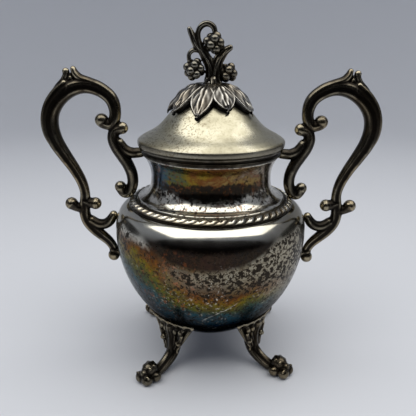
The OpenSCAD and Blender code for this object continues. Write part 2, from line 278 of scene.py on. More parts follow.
class Paint:
    """A metal's node tree, with a short call for each kind of node that the finishes use."""

    def __init__(self, name):
        self.material = bpy.data.materials.new(name)
        self.material.use_nodes = True
        self.tree = self.material.node_tree
        self.shader = next(n for n in self.tree.nodes if n.type == "BSDF_PRINCIPLED")
        self.place = self.add("ShaderNodeTexCoord").outputs["Object"]
        self.shader.inputs["Metallic"].default_value = 1.0

    def add(self, kind):
        return self.tree.nodes.new(kind)

    def put(self, value, socket):
        if isinstance(value, bpy.types.NodeSocket):
            self.tree.links.new(value, socket)
        elif isinstance(value, tuple) and len(value) == 3 and socket.type == "RGBA":
            socket.default_value = (*value, 1)
        else:
            socket.default_value = value

    def noise(self, scale, detail=4.0, rough=0.6, warp=0.0, shift=(0, 0, 0), stretch=(1, 1, 1)):
        place = self.add("ShaderNodeMapping")
        place.inputs["Location"].default_value = shift
        place.inputs["Scale"].default_value = stretch
        self.put(self.place, place.inputs["Vector"])
        n = self.add("ShaderNodeTexNoise")
        self.put(place.outputs["Vector"], n.inputs["Vector"])
        n.inputs["Scale"].default_value = scale
        n.inputs["Detail"].default_value = detail
        n.inputs["Roughness"].default_value = rough
        n.inputs["Distortion"].default_value = warp
        return n.outputs["Fac"]

    def cells(self, scale):
        n = self.add("ShaderNodeTexVoronoi")
        self.put(self.place, n.inputs["Vector"])
        n.inputs["Scale"].default_value = scale
        return n.outputs["Distance"]

    def math(self, what, a, b=0.0, clamp=False):
        n = self.add("ShaderNodeMath")
        n.operation = what
        n.use_clamp = clamp
        self.put(a, n.inputs[0])
        self.put(b, n.inputs[1])
        return n.outputs[0]

    def times(self, a, b, clamp=False):
        return self.math("MULTIPLY", a, b, clamp)

    def plus(self, a, b):
        return self.math("ADD", a, b)

    def minus(self, a, b):
        return self.math("SUBTRACT", a, b)

    def length(self, a, b):
        """The length of a step of a one way and b the other."""
        return self.math("SQRT", self.plus(self.times(a, a), self.times(b, b)))

    def span_linear(self, value, low, high, to_low=0.0, to_high=1.0, how="LINEAR"):
        """value from low..high, moved to to_low..to_high."""
        n = self.add("ShaderNodeMapRange")
        n.interpolation_type = how
        self.put(value, n.inputs["Value"])
        for name, number in zip(("From Min", "From Max", "To Min", "To Max"), (low, high, to_low, to_high)):
            n.inputs[name].default_value = number
        return n.outputs["Result"]

    def span(self, value, low, high, to_low=0.0, to_high=1.0):
        """As span_linear, eased at both ends."""
        return self.span_linear(value, low, high, to_low, to_high, "SMOOTHSTEP")

    def span_mm(self, value, low, high, to_low=0.0, to_high=1.0):
        """As span, for a value in the object's space and limits in millimetres."""
        return self.span(value, low * MM, high * MM, to_low, to_high)

    def scratch(self, lean, reach, centre, length):
        """One fine straight line on the front, at reach from the origin along its leaning normal."""
        angle = math.radians(lean)
        one = self.times(self.axis(0), math.cos(angle))
        two = self.times(self.axis(2), math.sin(angle))
        shake = self.times(self.minus(self.noise(150, 2), 0.5), 2.4 * MM)
        off = self.minus(self.plus(self.plus(one, two), shake), reach * MM)
        thin = self.span_mm(self.math("ABSOLUTE", off), 0.45, 0.15)
        return self.times(thin, self.spot(centre, length * 0.7, length))

    def axis(self, which):
        n = self.add("ShaderNodeSeparateXYZ")
        self.put(self.place, n.inputs[0])
        return n.outputs[which]

    def spot(self, centre, inner, outer):
        """1 within inner of a point in the object's space, easing to 0 at outer, all in millimetres."""
        n = self.add("ShaderNodeVectorMath")
        n.operation = "DISTANCE"
        self.put(self.place, n.inputs[0])
        n.inputs[1].default_value = tuple(c * MM for c in centre)
        return self.span(n.outputs["Value"], inner * MM, outer * MM, 1.0, 0.0)

    def layer(self, name):
        n = self.add("ShaderNodeAttribute")
        n.attribute_name = name
        return n.outputs["Fac"]

    def ramp(self, value, stops):
        n = self.add("ShaderNodeValToRGB")
        self.put(value, n.inputs["Fac"])
        band = n.color_ramp
        while len(band.elements) < len(stops):
            band.elements.new(0.5)
        for element, (at, colour) in zip(band.elements, stops):
            element.position = at
            element.color = (*colour, 1)
        return n.outputs["Color"]

    def mix(self, amount, a, b, how="MIX"):
        n = self.add("ShaderNodeMix")
        n.data_type = "RGBA"
        n.blend_type = how
        self.put(amount, n.inputs["Factor"])
        self.put(a, n.inputs[6])
        self.put(b, n.inputs[7])
        return n.outputs[2]

    def colour(self, value):
        self.put(value, self.shader.inputs["Base Color"])

    def rough(self, value):
        self.put(value, self.shader.inputs["Roughness"])

    def bump(self, height, strength, distance):
        n = self.add("ShaderNodeBump")
        n.inputs["Strength"].default_value = strength
        n.inputs["Distance"].default_value = distance * MM
        self.put(height, n.inputs["Height"])
        self.put(n.outputs["Normal"], self.shader.inputs["Normal"])


PALE = (0.74, 0.71, 0.62)
SOOT = (0.022, 0.018, 0.014)
UMBER = (0.10, 0.065, 0.035)
BLUE_FILM = (0.035, 0.095, 0.135)


def belly_film(p, height, across, cloud, ripple, wander):
    """The slanting rainbow of tarnish: slate and teal low on the left, then olive, amber and rust."""
    slope = 0.73
    slanted_middle = 52 * MM
    level_middle = 59 * MM
    slanted = p.minus(p.plus(height, p.times(across, slope)), slanted_middle)
    level = p.times(p.minus(height, level_middle), 1.5)
    away = p.math("DIVIDE", p.math("MINIMUM", slanted, level), math.hypot(1, slope))
    away = p.plus(p.plus(away, wander), ripple)
    film = p.ramp(
        p.span_linear(away, -34 * MM, 30 * MM),
        [
            (0.00, (0.13, 0.145, 0.16)),
            (0.14, (0.060, 0.090, 0.11)),
            (0.26, (0.018, 0.080, 0.105)),
            (0.36, (0.060, 0.085, 0.028)),
            (0.44, (0.17, 0.135, 0.012)),
            (0.51, (0.17, 0.070, 0.010)),
            (0.58, (0.085, 0.030, 0.010)),
            (0.65, (0.12, 0.080, 0.035)),
            (0.76, (0.17, 0.145, 0.095)),
            (0.90, (0.34, 0.315, 0.245)),
        ],
    )
    low_blue = p.times(p.span_mm(height, 50, 36), p.span(cloud, 0.35, 0.6))
    return p.mix(p.times(low_blue, 0.8), film, BLUE_FILM)


def belly_finish():
    """Polished plate under a slanting band of amber, rust and teal tarnish, with black pitting."""
    p = Paint("belly_finish")
    height = p.axis(2)
    across = p.axis(0)
    cloud = p.noise(30, 6, 0.66, 0.5)
    fine_cloud = p.noise(130, 5, 0.7, 0.4, (0.3, 0.6, 0.2))
    wander = p.times(p.minus(cloud, 0.5), 34 * MM)
    ripple = p.times(p.minus(fine_cloud, 0.5), 16 * MM)
    ragged = p.plus(height, p.times(ripple, 0.5))
    body = belly_film(p, height, across, cloud, ripple, wander)

    # Broad patches: brown blotches, a clean shoulder and a paler right side, and painted shade that darkens
    # the underside.
    blotch = p.times(p.span(p.noise(95, 6, 0.72, 0.9, (0.5, 0.3, 0.1)), 0.50, 0.62), 0.55)
    body = p.mix(blotch, body, (0.045, 0.036, 0.028))
    shoulder = p.span_mm(ragged, 80, 87)
    body = p.mix(p.times(shoulder, 0.95), body, (0.66, 0.64, 0.56))
    right_edge = p.span_mm(p.plus(across, wander), 20, 40)
    body = p.mix(p.times(right_edge, 0.85), body, (0.33, 0.30, 0.24))
    # Painted shade: the belly darkens towards its bottom.
    foot_shade = p.span_mm(height, 22, 48, 0.95, 0.0)
    body = p.mix(foot_shade, body, (0.03, 0.03, 0.034))
    grime = p.span(p.noise(70, 6, 0.72, 1.0, (0.1, 0.0, 0.4)), 0.50, 0.66)
    grime = p.times(grime, p.span_mm(height, 86, 80, 0.02, 0.45))
    body = p.mix(grime, body, (0.07, 0.05, 0.03))

    # A painted dark reflection on the front: an oval with a rusty heart, measured outwards from the
    # shoulder.
    wide = p.math("DIVIDE", across, 48 * MM)
    tall = p.math("DIVIDE", p.minus(height, 94 * MM), 26 * MM)
    ring = p.length(wide, tall)
    front = p.span_mm(p.axis(1), -12, -28)
    under = p.times(p.times(p.span(ring, 0.84, 0.72), p.span_mm(height, 90.5, 85)), front)
    body = p.mix(p.times(under, 0.97), body, (0.014, 0.011, 0.010))
    rusty = p.times(p.spot((-2, -56, 80), 3, 20), p.span(cloud, 0.34, 0.58, 0.1, 0.7))
    body = p.mix(rusty, body, (0.070, 0.034, 0.024))

    # Small marks in the film: rust embers on the left and pale flakes low down.
    embers = p.times(p.span(p.noise(330, 3, 0.7), 0.56, 0.63), p.spot((-20, -46, 62), 6, 30))
    body = p.mix(p.times(embers, 0.6), body, (0.36, 0.10, 0.03))
    flakes = p.times(p.span(p.noise(640, 3, 0.6, 0.3, (0.9, 0.2, 0.4)), 0.60, 0.65), 0.55)
    flake_place = p.span(p.noise(70, 3, 0.6, 0.2, (0.2, 0.8, 0.4)), 0.42, 0.58)
    flake_place = p.times(flake_place, p.span_mm(height, 82, 70))
    body = p.mix(p.times(flakes, flake_place), body, PALE)

    # Where the black pitting lies: a crescent below the oval, and a patch high on the left.
    ring = p.plus(ring, p.times(p.minus(cloud, 0.5), 0.6))
    crescent = p.times(p.span(ring, 0.72, 0.86), p.span(ring, 1.80, 1.20, 0.22, 1.0))
    beyond = p.times(crescent, p.span_mm(across, -30, -4))
    top_left = p.spot((-45, -26, 81), 4, 16)
    where = p.times(p.math("MAXIMUM", beyond, top_left), p.span_mm(ragged, 89, 84))
    pale_side = p.times(beyond, p.span_mm(height, 58, 72, 0.0, 0.62))
    body = p.mix(pale_side, body, (0.36, 0.33, 0.25))
    patch = p.span(p.noise(60, 4, 0.6, 0.6, (0.4, 0.1, 0.7)), 0.36, 0.54)
    where = p.times(where, p.plus(p.times(patch, 0.5), 0.5))
    clear = p.minus(1.0, p.times(p.span_mm(height, 70, 50), 0.75))
    where = p.math("MAXIMUM", p.times(where, clear), p.span_mm(height, 88, 83, 0.0, 0.22))

    # The pitting: crooked marks that grow sparse, not faint, away from its middle, each in a brown halo.
    grain = p.noise(520, 4, 0.64, 0.4)
    sparse = p.times(p.minus(1.0, where), 0.08)
    worms = p.span(p.minus(grain, sparse), 0.500, 0.515)
    coarse = p.span(p.minus(p.noise(300, 5, 0.68), sparse), 0.550, 0.565)
    dots = p.times(p.span(p.cells(900), 0.32, 0.22), p.span(p.noise(210, 3, 0.7), 0.44, 0.58))
    halo = p.times(p.span(grain, 0.44, 0.54), where, True)
    body = p.mix(p.times(halo, 0.75), body, (0.12, 0.072, 0.034))
    marks = p.math("MAXIMUM", p.math("MAXIMUM", worms, coarse), dots)
    marks = p.times(marks, p.span(where, 0.02, 0.30), True)
    scratch = p.scratch(125.2, 35.2, (5, -45, 47), 13)
    body = p.mix(p.times(scratch, 0.42), body, PALE)
    p.colour(p.mix(p.times(marks, 0.97), body, SOOT))

    # A thick film keeps its own dark colour at a glancing angle; the added darkness low down is painted
    # shade.
    film_and_shade_tint = p.mix(p.span_mm(height, 25, 60, 0.92, 0.25), (1.0, 1.0, 1.0), (0.04, 0.045, 0.055))
    p.put(film_and_shade_tint, p.shader.inputs["Specular Tint"])
    dull = p.minus(1.0, p.times(shoulder, 0.25))
    shine = p.span(fine_cloud, 0.3, 0.7, 0.13, 0.27)
    p.rough(p.plus(p.times(shine, dull), p.times(marks, 0.15)))
    height_map = p.minus(p.times(fine_cloud, 0.5), marks)
    p.bump(p.times(height_map, dull), 0.28, 0.08)
    return p.material


def neck_finish():
    """Polished plate: teal on one side, olive, amber and rust in the middle, and a speckled foot."""
    p = Paint("neck_finish")
    height = p.axis(2)
    side = p.axis(0)
    cloud = p.noise(44, 6, 0.66, 0.7, (0.3, 0.2, 0.0), (1, 1, 1.6))
    fine_cloud = p.noise(170, 5, 0.7, 0.3)
    drift = p.plus(p.times(cloud, 0.8), p.span_linear(side, -34 * MM, 34 * MM, -0.18, 0.34))
    drift = p.plus(drift, p.times(p.minus(fine_cloud, 0.5), 0.24))
    film = p.ramp(
        drift,
        [
            (0.14, (0.26, 0.26, 0.25)),
            (0.22, (0.022, 0.055, 0.110)),
            (0.30, (0.030, 0.070, 0.080)),
            (0.38, (0.11, 0.10, 0.022)),
            (0.46, (0.20, 0.13, 0.020)),
            (0.53, (0.13, 0.045, 0.015)),
            (0.60, (0.22, 0.15, 0.05)),
            (0.67, (0.12, 0.075, 0.04)),
            (0.78, (0.30, 0.27, 0.21)),
        ],
    )
    wave = p.plus(height, p.times(p.minus(fine_cloud, 0.5), 9 * MM))
    # Painted reflections: pale bands at the foot and the top of the flare, and a dark oval on the front.
    painted_highlight = p.math("MAXIMUM", p.span_mm(wave, 108.5, 105), p.span_mm(height, 121, 122.5))
    wide = p.math("DIVIDE", side, 27 * MM)
    tall = p.math("DIVIDE", p.minus(wave, 108.2 * MM), 4.4 * MM)
    oval = p.length(wide, tall)
    painted_dark_reflection = p.times(p.span(oval, 1.15, 0.85), p.span_mm(p.axis(1), -8, -16))
    body = p.mix(p.times(painted_highlight, 0.9), film, PALE)
    body = p.mix(p.times(painted_dark_reflection, 0.93), body, (0.018, 0.015, 0.012))
    rings = p.times(p.span(p.noise(300, 3, 0.6, 1.2), 0.54, 0.60), 0.7)
    body = p.mix(rings, body, (0.13, 0.05, 0.02))
    border = p.times(p.span_mm(wave, 98.5, 105.5), p.span_mm(wave, 114.5, 109.5))
    amount = p.math("MAXIMUM", border, 0.18)
    few = p.times(p.minus(1.0, amount), 0.12)
    specks = p.span(p.minus(p.noise(560, 3, 0.6, 0.3), few), 0.500, 0.520)
    p.colour(p.mix(p.times(specks, 0.95), body, SOOT))
    p.rough(p.span(fine_cloud, 0.3, 0.7, 0.11, 0.25))
    p.bump(p.noise(300, 3, 0.6), 0.14, 0.05)
    return p.material


def lid_finish():
    """Warm pale plate with fine dark specks, faint radial streaks and soft brown clouds."""
    p = Paint("lid_finish")
    cloud = p.noise(46, 6, 0.66, 0.4, (0.7, 0.0, 0.2))
    stops = [(0.30, (0.29, 0.265, 0.19)), (0.46, (0.43, 0.40, 0.29)), (0.64, (0.53, 0.50, 0.39))]
    body = p.ramp(cloud, stops)
    # Painted shade: the lid's vertical edge is darker.
    edge = p.span_mm(p.axis(2), 131.2, 129.6)
    body = p.mix(p.times(edge, 0.7), body, (0.16, 0.145, 0.12))
    near_left = p.plus(p.spot((-26, -22, 137), 8, 34), 0.35)
    fine = p.times(p.span(p.noise(820, 3, 0.6), 0.53, 0.60), near_left, True)
    body = p.mix(p.times(fine, 0.6), body, (0.12, 0.09, 0.05))
    blots = p.span(p.noise(190, 5, 0.7, 0.6, (0.5, 0.2, 0.8)), 0.60, 0.68)
    p.colour(p.mix(p.times(blots, 0.35), body, UMBER))
    p.rough(p.span(cloud, 0.3, 0.7, 0.36, 0.24))
    p.bump(p.plus(p.noise(420, 4, 0.7), p.times(fine, -0.4)), 0.16, 0.06)
    return p.material


def cast_finish(name, edges, hollow, mid, crest, grit_amount=0.3, low=None):
    """Oxidised casting, shaded by how proud it stands: hollow, mid and crest colours at edges."""
    p = Paint(name)
    proud = p.layer("relief")
    cloud = p.noise(90, 5, 0.65, 0.4)
    worn = p.plus(proud, p.times(p.minus(cloud, 0.5), 0.5))
    body = p.ramp(worn, [(edges[0], hollow), (edges[1], mid), (edges[2], crest)])
    warm = p.span(p.noise(45, 3, 0.6, 0.3, (0.2, 0.5, 0.1)), 0.45, 0.65)
    tint = p.mix(p.times(warm, 0.5), body, (1.0, 0.84, 0.64), "MULTIPLY")
    # Painted shade: where the named layer is low, the colour darkens to near black.
    if low:
        tint = p.mix(p.span(p.layer(low), 0.55, 0.25), tint, (0.010, 0.009, 0.008))
    grit = p.span(p.noise(700, 3, 0.7), 0.54, 0.66)
    p.colour(p.mix(p.times(grit, grit_amount), tint, SOOT))
    p.rough(p.span(worn, edges[0], edges[2], 0.36, 0.17))
    p.bump(p.plus(p.noise(520, 3, 0.7), p.times(cloud, 0.6)), 0.22, 0.10)
    return p.material


def brass_finish():
    """Dull brass for the fixings inside the lid."""
    p = Paint("brass_finish")
    cloud = p.noise(240, 4, 0.6)
    p.colour(p.ramp(cloud, [(0.35, (0.30, 0.22, 0.10)), (0.62, (0.62, 0.48, 0.24))]))
    p.rough(p.span(cloud, 0.3, 0.7, 0.45, 0.28))
    p.bump(p.noise(900, 2, 0.5), 0.15, 0.05)
    return p.material


BELLY_FINISH = belly_finish()
NECK_FINISH = neck_finish()
LID_FINISH = lid_finish()
RIM_FINISH = cast_finish(
    "rim_finish", (0.18, 0.45, 0.72), (0.03, 0.026, 0.02), (0.30, 0.28, 0.23), (0.78, 0.75, 0.66)
)
BAND_FINISH = cast_finish(
    "band_finish", (0.30, 0.60, 0.88), SOOT, (0.26, 0.245, 0.20), (0.82, 0.80, 0.72), grit_amount=0.12
)
CAST_FINISH = cast_finish(
    "cast_finish", (0.24, 0.64, 1.08), (0.013, 0.011, 0.009), (0.052, 0.045, 0.035), (0.34, 0.30, 0.215)
)
LEAF_FINISH = cast_finish(
    "leaf_finish", (0.12, 0.45, 0.88), SOOT, (0.115, 0.11, 0.10), (0.56, 0.54, 0.49), low="painted_shade_clearance"
)
VINE_FINISH = cast_finish(
    "vine_finish", (0.28, 0.60, 1.0), (0.014, 0.012, 0.010), (0.065, 0.06, 0.05), (0.28, 0.265, 0.22)
)
BRASS_FINISH = brass_finish()

# ---------------------------------------------------------------- body of the bowl

BELLY_R = 55.0
BELLY_Z = 77.0
BELLY_DROP = 63.0
BELLY_POWER = 1.9
BASE_Z = 16.0
WALL = 1.2
SHOULDER_R = 46.0
SHOULDER_Z = 94.0
LAND_IN = 40.4
LAND_TOP = 97.4
WAIST_R = 34.0
MOUTH_Z = 127.0
LOBES = 54


def belly_radius(z):
    """The belly's outer radius at a height below its widest line."""
    return BELLY_R * math.sqrt(max(0.0, 1 - ((BELLY_Z - z) / BELLY_DROP) ** BELLY_POWER))


def belly_side(inset):
    """The belly from its flat bottom to the widest line, then the shoulder, then the land."""
    bottom = BASE_Z + inset
    rise = BELLY_Z - bottom
    lower_steps = 40
    shoulder_steps = 18
    out = []
    for i in range(lower_steps + 1):
        z = bottom + rise * math.sin(math.pi / 2 * i / lower_steps)
        depth = (BELLY_Z - z) / (BELLY_DROP - inset)
        out.append(((BELLY_R - inset) * math.sqrt(1 - depth**BELLY_POWER), z))
    low = BELLY_Z + 3
    for i in range(shoulder_steps + 1):
        a = math.pi / 2 * i / shoulder_steps
        r = SHOULDER_R + (BELLY_R - SHOULDER_R - inset) * math.cos(a)
        out.append((r, low + (SHOULDER_Z - low - inset) * math.sin(a)))
    out.append((LAND_IN, LAND_TOP - inset))
    return out


def make_belly():
    outer = belly_side(0)
    inner = belly_side(WALL)
    outline = [(0, BASE_Z)] + outer + inner[::-1] + [(0, BASE_Z + WALL)]
    shape = empty_shape()
    lathe(shape, outline, 288, True)
    piece("belly", shape, "bowl", "belly_silver", ["bowl_shell"], BELLY_FINISH)


def land_height(r):
    """The height of the sloping land between the shoulder and the neck."""
    return LAND_TOP + (LAND_IN - r) * (LAND_TOP - SHOULDER_Z) / (SHOULDER_R - LAND_IN)


def make_neck():
    """The waisted neck: a quarter sweep up from its foot, then a flare to the mouth."""
    foot_r = 41.8
    sweep_z = 108.5
    flare_z = 110.0
    flare_arc = 19.5
    flare_top = MOUTH_Z - 4.6
    sweep_steps = 24
    flare_steps = 15
    gap = 0.05
    drop = sweep_z - land_height(foot_r) - gap - WALL

    def side(inset):
        sweep = [
            (foot_r - (foot_r - WAIST_R + inset) * math.sin(a), sweep_z - (drop + inset) * math.cos(a))
            for a in (math.pi / 2 * i / sweep_steps for i in range(sweep_steps + 1))
        ]
        flare = []
        for i in range(flare_steps + 1):
            z = flare_z + (flare_top - flare_z) * i / flare_steps
            flare.append((WAIST_R - inset + flare_arc - math.sqrt(flare_arc**2 - (z - flare_z) ** 2), z))
        return sweep, flare

    sweep, flare = side(0)
    sweep_in, flare_in = side(WALL)
    inner = [(foot_r, land_height(foot_r) + gap), (LAND_IN - 0.1, LAND_TOP + gap)]
    inner += [p for p in sweep_in if p[0] < LAND_IN - 0.5] + flare_in
    shape = empty_shape()
    lathe(shape, sweep + flare + inner[::-1], 256)
    piece("neck", shape, "bowl", "neck_silver", ["neck_collar"], NECK_FINISH)


def make_mouth():
    """The moulding round the mouth: a bead, a groove and a flat lip with rounded edges."""
    foot = MOUTH_Z - 4.55
    outline = [(36.6, foot), (37.8, foot)]
    outline += [
        (38.3 + 0.9 * math.cos(a), foot + 0.9 + 0.9 * math.sin(a))
        for a in (math.radians(d) for d in range(-80, 81, 16))
    ]
    outline += [(38.2, foot + 2.05), (38.15, foot + 2.5), (38.7, foot + 2.75), (39.2, foot + 3.1)]
    outline += [(39.4, foot + 3.5), (39.4, MOUTH_Z - 0.4), (39.25, MOUTH_Z - 0.12), (38.95, MOUTH_Z)]
    outline += [(37.0, MOUTH_Z), (36.7, MOUTH_Z - 0.1), (36.6, MOUTH_Z - 0.4)]
    shape = empty_shape()
    lathe(shape, outline, 256)
    piece("mouth", shape, "bowl", "rim_silver", ["mouth_rim"], RIM_FINISH, rounds=4)


def make_band():
    """The gadroon band: a grained inner border, then slanted lobes, on the sloping land."""
    inner_r = 42.3
    outer_r = 47.1
    border = 0.20
    per_lobe = 18
    across = 26
    slant = 1.0
    turns = LOBES * per_lobe
    rings = []
    proud = []
    for i in range(turns):
        turn = FULL_TURN * i / turns
        ring = []
        for k in range(across + 1):
            v = k / across
            r = inner_r + (outer_r - inner_r) * v
            base = land_height(r) + 0.45 + 1.7 * max(0.0, v - 0.6)
            w = (v - border) / (1 - border)
            if w < 0:
                grain = math.sin(FULL_TURN * 3.5 * i / per_lobe + 2.4) * math.sin(FULL_TURN * v / border)
                rise = 0.42 + 0.16 * grain
            else:
                phase = (i / per_lobe + slant * (w - 0.5) + 0.08 * math.sin(FULL_TURN * w)) % 1.0
                lobe = max(0.0, 1 - abs(2 * phase - 1) ** 2.2) ** 0.6
                swell = math.sin(math.pi * w) ** 0.5
                flute = 0.22 * swelling(phase, 0.5, 0.10) * swell
                rise = 0.10 + 1.75 * swell * lobe - flute
            ring.append((r, base + rise))
            proud.append(0.30 + 0.15 * grain if w < 0 else min(1.0, swell * lobe - 0.5 * flute))
        ring.append((outer_r, land_height(outer_r) + 0.9))
        ring.append((inner_r + 0.6, land_height(inner_r + 0.6) + 0.12))
        ring.append((inner_r, land_height(inner_r) + 0.12))
        proud.extend((0.0, 0.0, 0.0))
        rings.append([(r * math.cos(turn), r * math.sin(turn), z) for r, z in ring])
    shape = empty_shape()
    skin(shape, rings, wrap=True)
    band = piece("gadroon", shape, "bowl", "band_silver", ["gadroon_band"], BAND_FINISH)
    band.data.attributes["relief"].data.foreach_set("value", proud)


# ---------------------------------------------------------------- handles

# Strokes in the handle's plane: outward distance, height and half thickness.
MAIN_SCROLL = [
    (60.5, 138.6, 3.2), (56.5, 137.6, 3.1), (53.8, 141, 3.3), (53.5, 146.5, 3.4),
    (56.2, 152.5, 3.5), (62.5, 157, 3.8), (70, 158.6, 4.2), (77.5, 156.6, 4.5),
    (84.3, 151.6, 4.8), (88.8, 144.5, 4.9), (89.8, 136.5, 4.8), (87.6, 128.3, 4.4),
    (83.2, 120.4, 3.9), (78.4, 112.7, 3.4), (74.7, 105.3, 3.1), (73, 98.3, 2.9),
    (73.4, 91.5, 3.2), (73.8, 85.6, 3.3), (72.2, 80.2, 3.4), (68.6, 75.6, 3.4),
    (64.2, 71.6, 3.2), (60.4, 68, 2.9), (58, 64, 2.7), (57.4, 60, 2.9),
]
WALL_BRACKET = [
    (50.2, 135.6, 3.3), (53.8, 134.2, 3.1), (55, 130, 3.3), (53.4, 125, 3.4),
    (50.3, 120, 3.4), (47.2, 114.8, 3.3), (45.2, 109.3, 3.2), (45, 103.8, 3.1),
    (46.8, 99.2, 3), (50, 98, 2.9), (52, 101.4, 3.3),
]
RIM_ARM = [(52, 127.5, 3), (49, 123.6, 3.1), (45, 121.9, 3), (41.5, 122, 2.9), (39.6, 122.2, 2.8)]
BELLY_ARM = [(70.6, 81.4, 3), (66.6, 79, 3.1), (62.4, 79, 3), (59.2, 81.2, 2.9), (57, 84.8, 2.4)]
BELLY_PAD = [(58, 62.5, 2.6), (53, 61.5, 2.4)]
OUTER_VOLUTE = [(73.8, 88.2, 2.6), (77.8, 89, 2.7), (81.2, 91.4, 3.7)]
INNER_VOLUTE = [(73.4, 93, 2.7), (70.2, 92, 3), (67.3, 91.6, 3.6)]
BACK_LEAF = [
    (80, 160.2, 1.8), (85.8, 155, 2.1), (90.4, 147.8, 2.3), (92.3, 139.5, 2.4),
    (91.4, 131.5, 2.1), (87.8, 124.5, 1.7), (83.4, 117.5, 1),
]
RIDGE = [
    (52.9, 140.8, 1.3), (51.8, 146.5, 1.8), (54, 153.2, 2.0), (60, 158.4, 2.1), (66.3, 161.1, 2.1),
    (71.4, 162.8, 2.2), (73.9, 165.2, 2.0), (74.9, 167.6, 1.6),
]
THUMB_LOW = [(87.2, 153.6, 1.6), (84, 157.9, 1.8), (80.8, 161.2, 1.8), (79.2, 164.2, 1.7), (79, 166.2, 1.6)]
THUMB_WEB = [(75.6, 158.6, 2.4), (76.6, 161.6, 1.9), (76.8, 164.2, 1.2)]


def in_plane(stations, steps=5, depth=0.0, grow=1.0):
    """A stroke's path parallel to the XZ plane, with its thickness scaled by grow."""
    return [(x, depth, z, r * grow) for x, z, r in spline(stations, steps)]


def rails(turn, along):
    """A cast stroke's section: a broad hollow down each face, between two rails."""
    off = abs(around(turn))
    depth = 0.26 * min(1.0, max(0.0, 9 * along - 0.5))
    return 1 - depth * swelling(off, 90, 27) + 0.05 * swelling(off, 90, 7)


def keel(turn, along):
    """A stroke's section with a soft ridge along its back."""
    off = abs(around(turn))
    return 1 + 0.06 * swelling(off, 0, 20) - 0.07 * swelling(off, 48, 18)


def handle_shape():
    """The handle on the +X side."""
    shape = empty_shape()
    tube(shape, in_plane(MAIN_SCROLL, 6, 0, 0.98), 40, rails)
    tube(shape, in_plane(RIDGE, 6), 24, flat=1.35)
    for stroke in (WALL_BRACKET, RIM_ARM, BELLY_ARM):
        tube(shape, in_plane(stroke, 5), 30, keel)
    for stroke in (BELLY_PAD, OUTER_VOLUTE, INNER_VOLUTE):
        tube(shape, in_plane(stroke, 5), 24)
    tube(shape, in_plane(THUMB_LOW, 5), 20, flat=1.2)
    tube(shape, in_plane(THUMB_WEB, 5), 18)
    ball(shape, (79, 0, 166.2), 2.0)
    for depth in (-1, 1):
        tube(shape, in_plane(BACK_LEAF, 5, 1.5 * depth, 0.95), 20)
        leaf_edge(shape, depth)
        for lean in (75.2, 78.2):
            web = [(lean, 159.5, 1.6), (76.7, 163.0, 1.2)]
            tube(shape, in_plane(web, 4, 0.6 * depth), 14)
    for centre, radius, start, turns in (
        ((61, 0, 140), 3.9, 215, 1.15),
        ((49.9, 0, 135.8), 3.5, 330, -1.15),
        ((52.2, 0, 101.8), 3.4, 230, -1.15),
        ((81.2, 0, 91.4), 3.7, 215, -1.15),
        ((67.3, 0, 91.6), 3.6, 330, 1.15),
        ((58, 0, 59.2), 3.5, 80, -1.1),
    ):
        ball(shape, centre, radius, (1, 0.92, 1), 26)
        spiral(shape, centre, radius * 0.74, start, turns, radius * 0.60, radius * 0.24)
    return shape


def normal_at(line, i):
    """The unit normal, to the left, of a line of stations whose first two numbers are its plane."""
    a = line[max(i - 1, 0)]
    b = line[min(i + 1, len(line) - 1)]
    run = math.hypot(b[0] - a[0], b[1] - a[1])
    return -(b[1] - a[1]) / run, (b[0] - a[0]) / run


def leaf_edge(shape, depth):
    """The wavy raised margin and the veins of the leaf that lies along the back of the scroll."""
    margin = []
    spine = spline(BACK_LEAF, 12)
    for i, (x, z, _) in enumerate(spine):
        t = i / (len(spine) - 1)
        nx, nz = normal_at(spine, i)
        wave = abs(math.sin(math.pi * 6.5 * t))
        reach = -(2.6 - 2.2 * t) - 0.9 * wave * (1 - 0.5 * t)
        margin.append((x + nx * reach, depth * (3.1 - 0.9 * t), z + nz * reach, 0.62 - 0.2 * t))
    tube(shape, margin, 10)


def make_handles():
    right = handle_shape()
    left = placed(right, Matrix.Diagonal((-1, 1, 1)).to_3x3())
    for name, shape, node in (("scroll_right", right, "handle_right"), ("scroll_left", left, "handle_left")):
        piece(name, shape, "bowl", "cast_silver", [node], CAST_FINISH, voxel=0.36, soften=2, rounds=16)


# ---------------------------------------------------------------- feet

LEG = [
    (33.6, 26.5, 4.0), (31.8, 20.5, 4.2), (31.6, 14.5, 4.2), (33.8, 9, 3.9),
    (38.6, 5.2, 3.6), (44.5, 2.9, 3.4), (50, 2.7, 3.4), (54, 2.8, 3.4),
]
BEARINGS = {
    "foot_front_left": -40,
    "foot_front_right": 51,
    "foot_rear_right": 136,
    "foot_rear_left": 226,
}
FAN_ANGLE = math.radians(24)
RIB_FOOT = 10.5


def leg_section(turn, along):
    """A ridge down the front of the leg, with a groove on each side of it."""
    off = abs(around(turn))
    return 1 + 0.10 * swelling(off, 0, 16) - 0.20 * swelling(off, 46, 15)


def on_fan(spread, z, lift=0.0):
    """A point on the palmette's face. spread is -1 to 1 across it at its top edge."""
    t = (z - 12.5) / 17.0
    hug = belly_radius(z) + 0.9
    r = max(hug, 35.9 - 0.5 * t - 1.2 * math.sin(math.pi * min(1, max(0, t)))) + lift
    a = spread * FAN_ANGLE * (0.32 + 0.68 * max(t, 0))
    return (r * math.cos(a), r * math.sin(a), z)


